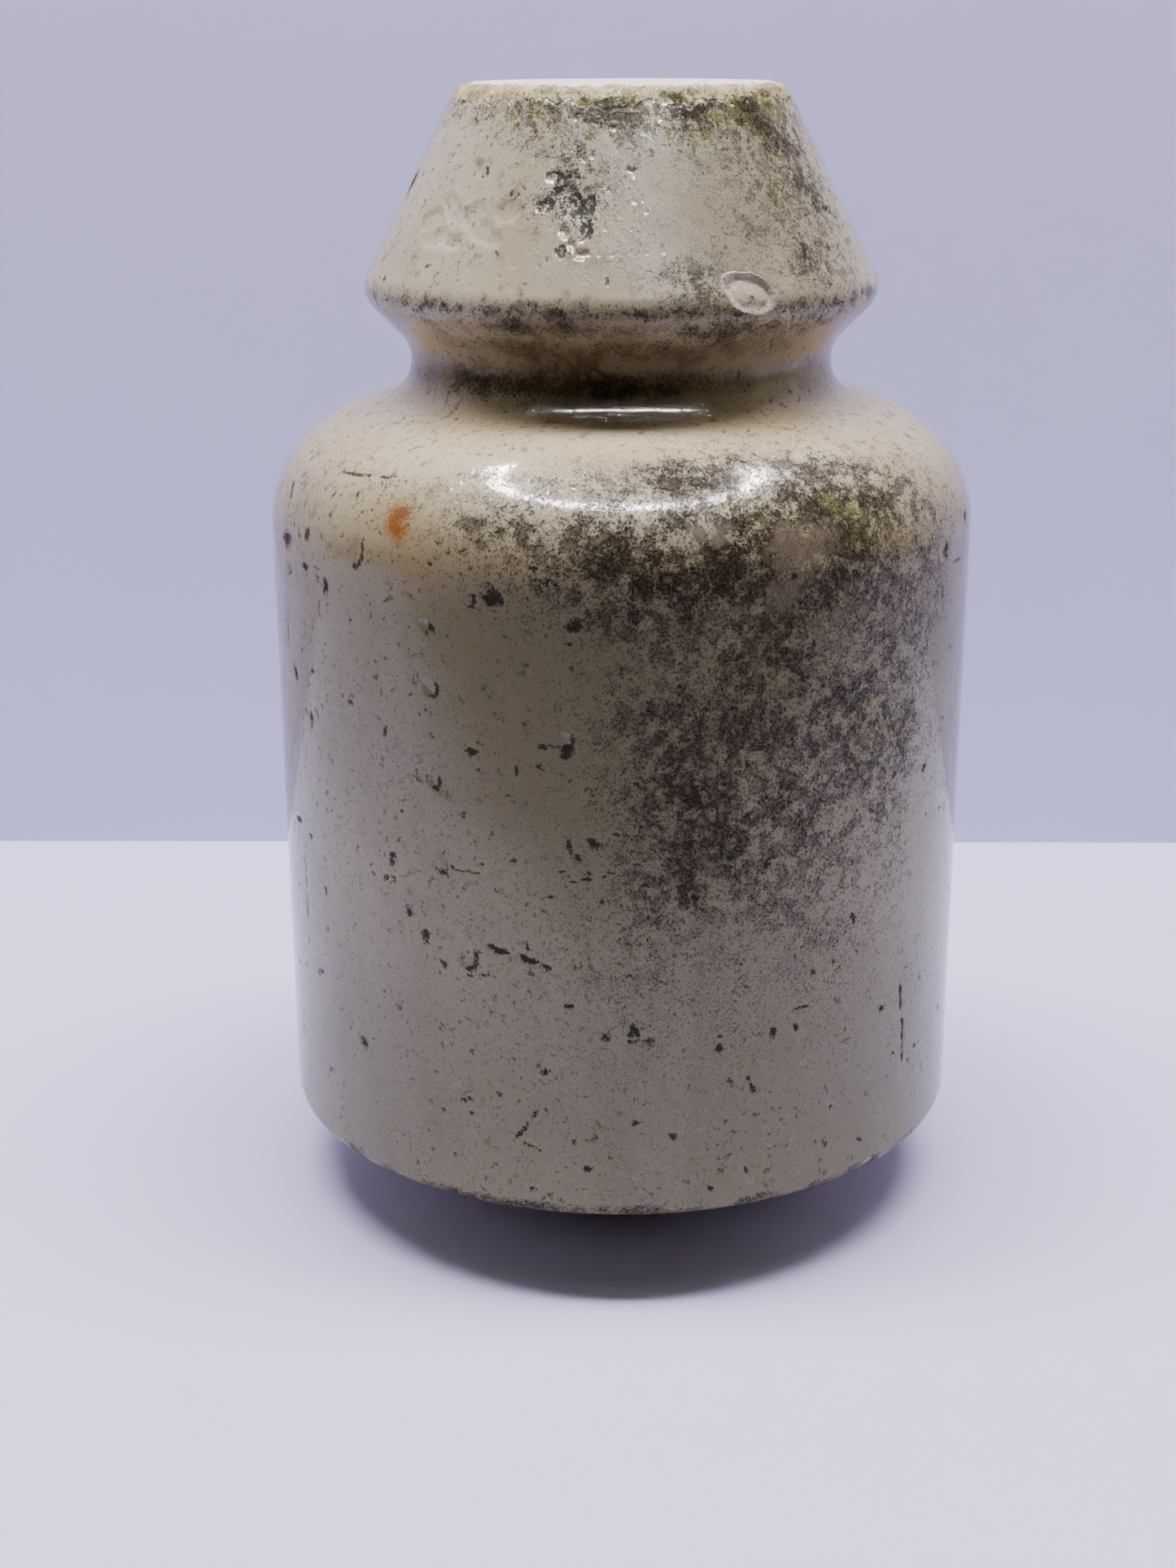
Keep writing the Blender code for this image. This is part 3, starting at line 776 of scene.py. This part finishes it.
    def fine_relief(self, dirt):
        """Orange peel, pin holes, crumbs of dirt and the rough surface of worn places."""
        peel = self.bump(self.noise(420.0, 2.0, 0.5), 0.00004, 0.4)
        pocks = self.bump(self.ramp(self.cells(520.0), 0.05, 0.22), 0.00005, 0.6, under=peel)
        crumb = self.bump(self.math("MULTIPLY", dirt, self.dust), 0.00003, 0.8, under=pocks)
        rough_places = self.math("MAXIMUM", self.worn, self.math("MULTIPLY", self.broken, 0.3))
        shatter = self.math("MULTIPLY", rough_places, self.noise(1300.0, 4.0, 0.7))
        return self.bump(shatter, 0.0006, 0.9, under=crumb)

    def gloss(self, dirt):
        dulled = self.math("MULTIPLY", self.math("MAXIMUM", dirt, self.film_and_shade), 0.39)
        gloss = self.math("SUBTRACT", 0.42, dulled)
        gloss = self.math("SUBTRACT", gloss, self.math("MULTIPLY", self.dark_spot, 0.08))
        return self.math("MAXIMUM", gloss, 0.02)


def weathered_glaze():
    glaze = Glaze()
    colour = glaze.glaze_with_painted_shade()
    for layer in (glaze.with_film_shade_and_rust, glaze.with_bare_places, glaze.with_moss,
                  glaze.with_soot, glaze.with_smudges_and_marks):
        colour = layer(colour)
    dirt = glaze.math("MAXIMUM", glaze.dark_spot, glaze.mossy)
    dirt = glaze.math("MAXIMUM", glaze.sooty, dirt)
    normal = glaze.fine_relief(dirt)
    return glaze.finish(colour, glaze.roughness(dirt), normal, specular=glaze.gloss(dirt))


def inner_glaze():
    """The inner shed's cream glaze under a patchy film of dust, with dark specks of dirt."""
    m = Shade("dusty_glaze")
    tone = m.ramp(m.noise(40.0, 3.0, 0.6), 0.35, 0.65)
    colour = m.mix(tone, (0.66, 0.61, 0.53), (0.52, 0.46, 0.37))
    dust = m.ramp(m.noise(160.0, 5.0, 0.65), 0.42, 0.68)
    colour = m.mix(m.math("MULTIPLY", dust, 0.5), colour, (0.33, 0.28, 0.21))
    specks = m.ramp(m.noise(1300.0, 4.0, 0.7), 0.64, 0.74)
    colour = m.mix(m.math("MULTIPLY", specks, 0.8), colour, (0.06, 0.055, 0.05))
    roughness = m.math("ADD", m.math("MULTIPLY", dust, 0.35), 0.16)
    normal = m.bump(m.noise(420.0, 2.0, 0.5), 0.00006, 0.5)
    return m.finish(colour, roughness, m.bump(specks, 0.00008, 0.6, under=normal))


def cement(name):
    """Grey cement: sand grains, air holes and pale lime bloom."""
    m = Shade(name)
    sand = m.noise(1800.0, 5.0, 0.75)
    colour = m.mix(m.ramp(sand, 0.35, 0.65), (0.25, 0.235, 0.21), (0.42, 0.40, 0.365))
    bloom = m.ramp(m.noise(180.0, 4.0, 0.6), 0.5, 0.72, 0.0, 0.6)
    colour = m.mix(bloom, colour, (0.58, 0.565, 0.53))
    holes = m.ramp(m.cells(900.0), 0.08, 0.2)
    colour = m.mix(m.math("SUBTRACT", 1.0, holes), colour, (0.10, 0.09, 0.08))
    normal = m.bump(sand, 0.0003, 0.8)
    normal = m.bump(holes, 0.0003, 0.7, under=normal)
    return m.finish(colour, m.ramp(sand, 0.3, 0.7, 0.85, 0.97), normal)


def zinc_alloy():
    """Dull cast zinc with white oxide in patches and faint lines round the bore."""
    m = Shade("cast_zinc")
    oxide = m.ramp(m.noise(420.0, 5.0, 0.7), 0.46, 0.64)
    colour = m.mix(oxide, (0.42, 0.43, 0.44), (0.55, 0.55, 0.53))
    pitted = m.ramp(m.noise(1400.0, 4.0, 0.7), 0.6, 0.7)
    colour = m.mix(pitted, colour, (0.16, 0.155, 0.15))
    roughness = m.math("ADD", m.math("MULTIPLY", oxide, 0.35), 0.38)
    metallic = m.math("SUBTRACT", 0.95, m.math("MULTIPLY", oxide, 0.7))
    turning = m.noise(300.0, 2.0, 0.5, stretch=(0.2, 0.2, 8.0))
    return m.finish(colour, roughness, m.bump(turning, 0.0001, 0.6), metallic)


def india_rubber():
    """Aged black rubber: a grey bloom, fine crazing and a grainy surface."""
    m = Shade("aged_rubber")
    bloom = m.ramp(m.noise(240.0, 5.0, 0.65), 0.45, 0.7)
    colour = m.mix(bloom, (0.022, 0.021, 0.020), (0.075, 0.070, 0.064))
    crazing = m.ramp(m.cells(700.0), 0.0, 0.12)
    colour = m.mix(m.math("SUBTRACT", 1.0, crazing), colour, (0.012, 0.011, 0.011))
    roughness = m.math("ADD", m.math("MULTIPLY", bloom, 0.25), 0.55)
    normal = m.bump(m.noise(1600.0, 4.0, 0.7), 0.00015, 0.7)
    return m.finish(colour, roughness, m.bump(crazing, 0.0002, 0.5, under=normal), specular=0.35)


# ---------------------------------------------------------------- pieces


def adopt(piece, node, body, material):
    """Makes a piece stand for a CAD node, ride on its body and wear its material."""
    piece.data.materials.append(material)
    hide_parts(node)
    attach(piece, body)


def store_stains(mesh, name, fields, skin_rows, steps):
    """Writes four stain fields to a colour attribute. Points past the skin's rows stay clean."""
    layer = mesh.attributes.new(name, "FLOAT_COLOR", "POINT")
    values = np.zeros((len(mesh.vertices), 4), dtype=np.float32)
    stacked = np.stack([field[1:skin_rows] for field in fields], axis=2).reshape(-1, 4)
    values[: len(stacked)] = stacked
    layer.data.foreach_set("color", values.ravel())


def make_outer_shell():
    skin_outline = evenly(rounded(OUTER_CORNERS), SKIN_SPACING)
    hollow_outline = evenly(rounded(HOLLOW_CORNERS), HOLLOW_SPACING)
    outline = np.concatenate([skin_outline, hollow_outline[1:]])
    relief, stains = weather(Skin(skin_outline, SHELL_STEPS))
    fade = smooth_step(lengths_along(skin_outline)[-1] - lengths_along(skin_outline), 0.0, 2.0)
    rows = np.zeros((len(outline), SHELL_STEPS))
    rows[: len(skin_outline)] = relief * fade[:, None]
    shell = turned("insulator_outer_shell", outline, SHELL_STEPS, rows)
    for name, fields in (("stains_a", stains[:4]), ("stains_b", stains[4:])):
        store_stains(shell.data, name, fields, len(skin_outline), SHELL_STEPS)
    adopt(shell, "outer_shell", "insulator", weathered_glaze())


def make_inner_shell():
    """The inner shed, a little uneven as a thrown piece is, with a chipped foot lip."""
    (_, _, foot), (reach, _, top) = (c / MM for c in map(Vector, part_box("inner_shell")))
    corners = (
        (0.0, top, 0.0), (16.2, top, 1.5), (16.2, 88.0, 2.5), (reach - 0.8, 82.0, 4.0),
        (reach, foot, 1.2), (22.3, foot, 0.6), (22.3, 8.3, 0.0), (12.2, 8.3, 0.8),
        (12.2, 103.7, 1.2), (0.0, 103.7, 0.0),
    )
    steps = 256
    outline = evenly(rounded(corners), 0.8)
    skin = Skin(outline, steps)
    relief = np.minimum(-0.04 + 0.04 * skin.cloud(14.0, 11) + 0.01 * skin.cloud(4.0, 12), 0.0)
    lip = smooth_step(7.0 - skin.height, 0.0, 2.5) * smooth_step(skin.radius, 21.8, 22.6)
    relief -= 0.22 * lip * smooth_step(skin.cloud(2.2, 13), 0.25, 0.9)
    adopt(turned("insulator_inner_shell", outline, steps, relief), "inner_shell", "insulator",
          inner_glaze())


def make_seating_ring():
    """The rubber ring, slightly squashed and worn, with a mould line round its side."""
    _, (reach, _, thick) = (c / MM for c in map(Vector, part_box("seating_ring")))
    corners = ((reach, thick, 1.2), (reach, 0.0, 1.4), (10.0, 0.0, 1.0), (10.0, thick, 0.8))
    steps = 192
    outline = evenly(rounded(corners, closed=True), 0.45)
    skin = Skin(outline, steps)
    relief = -0.08 + 0.06 * skin.cloud(6.0, 21) + 0.02 * skin.cloud(1.4, 22)
    relief = relief + 0.06 * soft_edge(np.abs(skin.height - thick * 0.55) / 0.4)
    relief = np.where(skin.height < 0.05, 0.0, np.minimum(relief, 0.0))
    ring = turned("insulator_seating_ring", outline, steps, relief, closed=True)
    adopt(ring, "seating_ring", "ring", india_rubber())


def dress_inner_pieces():
    """The cement and the thimble keep their CAD shapes and take their finishes."""
    finishes = {
        "shell_cement": cement("shell_joint_cement"),
        "thimble_cement": cement("thimble_joint_cement"),
        "spindle_thimble": zinc_alloy(),
    }
    for node, material in finishes.items():
        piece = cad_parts[node]
        piece.data.materials.clear()
        piece.data.materials.append(material)


# ---------------------------------------------------------------- stage, light and camera


def stage_plane(name, low, high, upright, colour, roughness):
    """A plain sheet that is seen from its front side only, so that no view is blocked.

    low and high are opposite corners: x and y of a level sheet, x and z of an upright one.
    """
    corners = [(low[0], low[1]), (high[0], low[1]), (high[0], high[1]), (low[0], high[1])]
    if upright:
        points = [(x, WALL_PLACE, z) for x, z in corners]
    else:
        points = [(x, y, 0.0) for x, y in corners]
    mesh = bpy.data.meshes.new(name)
    mesh.from_pydata(points, [], [(0, 1, 2, 3)])
    sheet = bpy.data.objects.new(name, mesh)
    bpy.context.scene.collection.objects.link(sheet)
    material = bpy.data.materials.new(name + "_paper")
    material.use_nodes = True
    nodes, links = material.node_tree.nodes, material.node_tree.links
    shader = nodes["Principled BSDF"]
    place = nodes.new("ShaderNodeTexCoord").outputs["Object"]
    split = nodes.new("ShaderNodeSeparateXYZ")
    fade = nodes.new("ShaderNodeMapRange")
    fade.interpolation_type = "SMOOTHSTEP"
    fade.inputs["From Min"].default_value = FLOOR_FRONT[1]
    fade.inputs["From Max"].default_value = FLOOR_FRONT[0]
    tone = nodes.new("ShaderNodeMix")
    tone.data_type = "RGBA"
    tone.inputs["A"].default_value = (*DARK_TONE, 1.0)
    tone.inputs["B"].default_value = (*colour, 1.0)
    links.new(place, split.inputs["Vector"])
    links.new(split.outputs["Y"], fade.inputs["Value"])
    links.new(fade.outputs["Result"], tone.inputs["Factor"])
    links.new(tone.outputs["Result"], shader.inputs["Base Color"])
    shader.inputs["Roughness"].default_value = roughness
    shader.inputs["Specular IOR Level"].default_value = 0.15
    clear = nodes.new("ShaderNodeBsdfTransparent")
    side = nodes.new("ShaderNodeNewGeometry")
    blend = nodes.new("ShaderNodeMixShader")
    links.new(side.outputs["Backfacing"], blend.inputs["Fac"])
    links.new(shader.outputs["BSDF"], blend.inputs[1])
    links.new(clear.outputs["BSDF"], blend.inputs[2])
    links.new(blend.outputs["Shader"], nodes["Material Output"].inputs["Surface"])
    mesh.materials.append(material)


def make_stage():
    stage_plane("pale_floor", (-0.6, -0.6), (0.6, WALL_PLACE), False, FLOOR_TONE, 0.7)
    stage_plane("pale_wall", (-0.6, 0.0), (0.6, 0.7), True, WALL_TONE, 0.8)


def area_light(name, place, target, size, power, colour):
    """A rectangular lamp, aimed at its target and hidden from the camera."""
    lamp = bpy.data.lights.new(name, "AREA")
    lamp.shape = "RECTANGLE"
    lamp.size, lamp.size_y = size
    lamp.energy = power
    lamp.color = colour
    holder = bpy.data.objects.new(name, lamp)
    bpy.context.scene.collection.objects.link(holder)
    holder.location = place
    aim = Vector(target) - Vector(place)
    holder.rotation_euler = aim.to_track_quat("-Z", "Y").to_euler()
    holder.visible_camera = False
    return holder


def make_ring_lamp():
    """An overhead ring of small lamps, which shows mostly as the curved glint on the glaze."""
    for i in range(RING_LAMPS):
        turn = 2.0 * math.pi * i / RING_LAMPS
        place = Vector(RING_CENTRE) + Vector((math.cos(turn), math.sin(turn), 0.0)) * RING_RADIUS
        lamp = area_light("ring_lamp_%02d" % i, place, place - Vector((0, 0, 1)), RING_LAMP_SIZE,
                          RING_POWER / RING_LAMPS, (1.0, 0.985, 0.97))
        lamp.rotation_euler = (0.0, 0.0, turn + math.pi / 2.0)
        lamp.visible_diffuse = False


def make_lights():
    """The bar overhead lights without a reflection, the ring glints and the sides fill."""
    make_ring_lamp()
    x, y, _ = OVERHEAD_PLACE
    overhead = area_light("overhead_lamp", OVERHEAD_PLACE, (x, y, 0.0), OVERHEAD_SIZE,
                          OVERHEAD_POWER, (0.85, 0.84, 1.0))
    overhead.visible_glossy = False
    for side in (-1.0, 1.0):
        x, y, z = SIDE_PLACE
        area_light("side_fill", (side * x, y, z), SIDE_TARGET, SIDE_SIZE, SIDE_POWER,
                   (1.0, 0.94, 0.78))
    world = bpy.data.worlds.new("dim_room")
    bpy.context.scene.world = world
    world.use_nodes = True
    background = world.node_tree.nodes["Background"]
    background.inputs["Color"].default_value = (0.55, 0.50, 0.46, 1.0)
    background.inputs["Strength"].default_value = ROOM_STRENGTH


def make_camera():
    """The photograph's viewpoint, as solved from the outline of the turned body."""
    camera = bpy.data.cameras.new("camera")
    camera.lens = CAMERA_LENS
    camera.sensor_width = 36.0
    camera.clip_start = 0.01
    holder = bpy.data.objects.new("camera", camera)
    bpy.context.scene.collection.objects.link(holder)
    place = Matrix.Translation(CAMERA_PLACE)
    swing = Matrix.Rotation(math.radians(CAMERA_SWING), 4, "Z")
    pitch = Matrix.Rotation(math.radians(90.0 - CAMERA_PITCH), 4, "X")
    roll = Matrix.Rotation(math.radians(CAMERA_ROLL), 4, "Z")
    holder.matrix_world = place @ swing @ pitch @ roll
    bpy.context.scene.camera = holder


make_outer_shell()
make_inner_shell()
make_seating_ring()
dress_inner_pieces()
make_stage()
make_lights()
make_camera()

bpy.context.view_layer.update()
